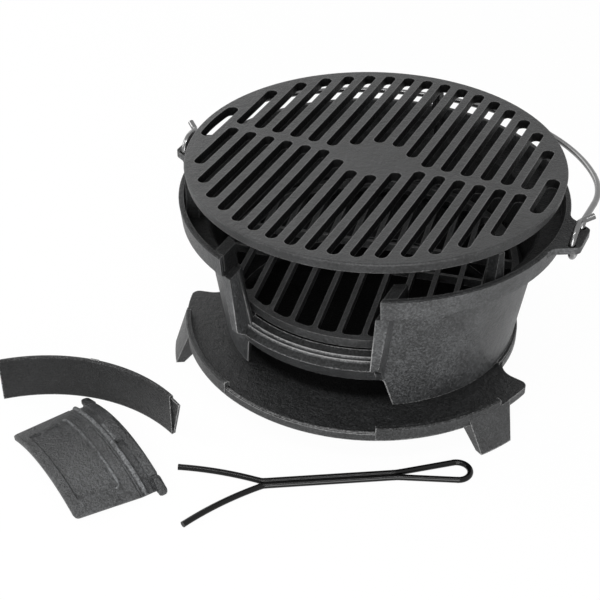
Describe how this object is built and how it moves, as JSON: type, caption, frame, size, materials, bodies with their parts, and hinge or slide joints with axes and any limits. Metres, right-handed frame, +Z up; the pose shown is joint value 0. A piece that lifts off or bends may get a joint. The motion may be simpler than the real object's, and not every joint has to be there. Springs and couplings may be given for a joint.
{
  "type": "charcoal brazier",
  "caption": "Cast iron charcoal brazier on a footed base plate, with slotted cooking grate, bail handle, draft door, coal guard and lifting fork.",
  "frame": {"origin": "on the bowl's vertical axis at the level of the feet", "axes": "+Z up, X through the two ears, the draft opening faces -Y, metres"},
  "size_m": [0.462, 0.5343, 0.2026],
  "materials": {
    "cast_base": "satin, seasoned, fine sand-cast grain",
    "cast_bowl": "satin, seasoned, fine sand-cast grain",
    "cast_coal_grate": "satin, seasoned",
    "cast_cooking_grate": "satin, seasoned",
    "bail_wire": "zinc plated wire",
    "cast_door": "satin, seasoned",
    "cast_guard": "satin, seasoned",
    "fork_rod": "black oxide, smooth"
  },
  "bodies": {
    "base": {"base_plate": "cast_base"},
    "bowl": {"fire_bowl": "cast_bowl"},
    "coal_grate": {"charcoal_grate": "cast_coal_grate"},
    "cook_grate": {"cooking_grate": "cast_cooking_grate"},
    "bail": {"bail_handle": "bail_wire"},
    "loose_door": {"door": "cast_door"},
    "loose_guard": {"coal_guard": "cast_guard"},
    "loose_fork": {"lifting_fork": "fork_rod"}
  },
  "joints": [
    {"name": "bowl_lift", "type": "slide", "parent": "base", "child": "bowl", "axis": [0, 0, 1], "range_m": [0, 0.06]},
    {"name": "coal_grate_lift", "type": "slide", "parent": "bowl", "child": "coal_grate", "axis": [0, 0, 1], "range_m": [0, 0.05]},
    {"name": "cook_grate_lift", "type": "slide", "parent": "bowl", "child": "cook_grate", "axis": [0, 0, 1], "range_m": [0, 0.05]},
    {"name": "bail_hinge", "type": "hinge", "parent": "bowl", "child": "bail", "pos_m": [0, 0, 0.168], "axis": [1, 0, 0], "range_deg": [0, 90]},
    {"name": "door_lift", "type": "slide", "parent": "base", "child": "loose_door", "axis": [0, 0, 1], "range_m": [0, 0.05]},
    {"name": "guard_lift", "type": "slide", "parent": "base", "child": "loose_guard", "axis": [0, 0, 1], "range_m": [0, 0.05]},
    {"name": "fork_lift", "type": "slide", "parent": "base", "child": "loose_fork", "axis": [0, 0, 1], "range_m": [0, 0.05]}
  ]
}
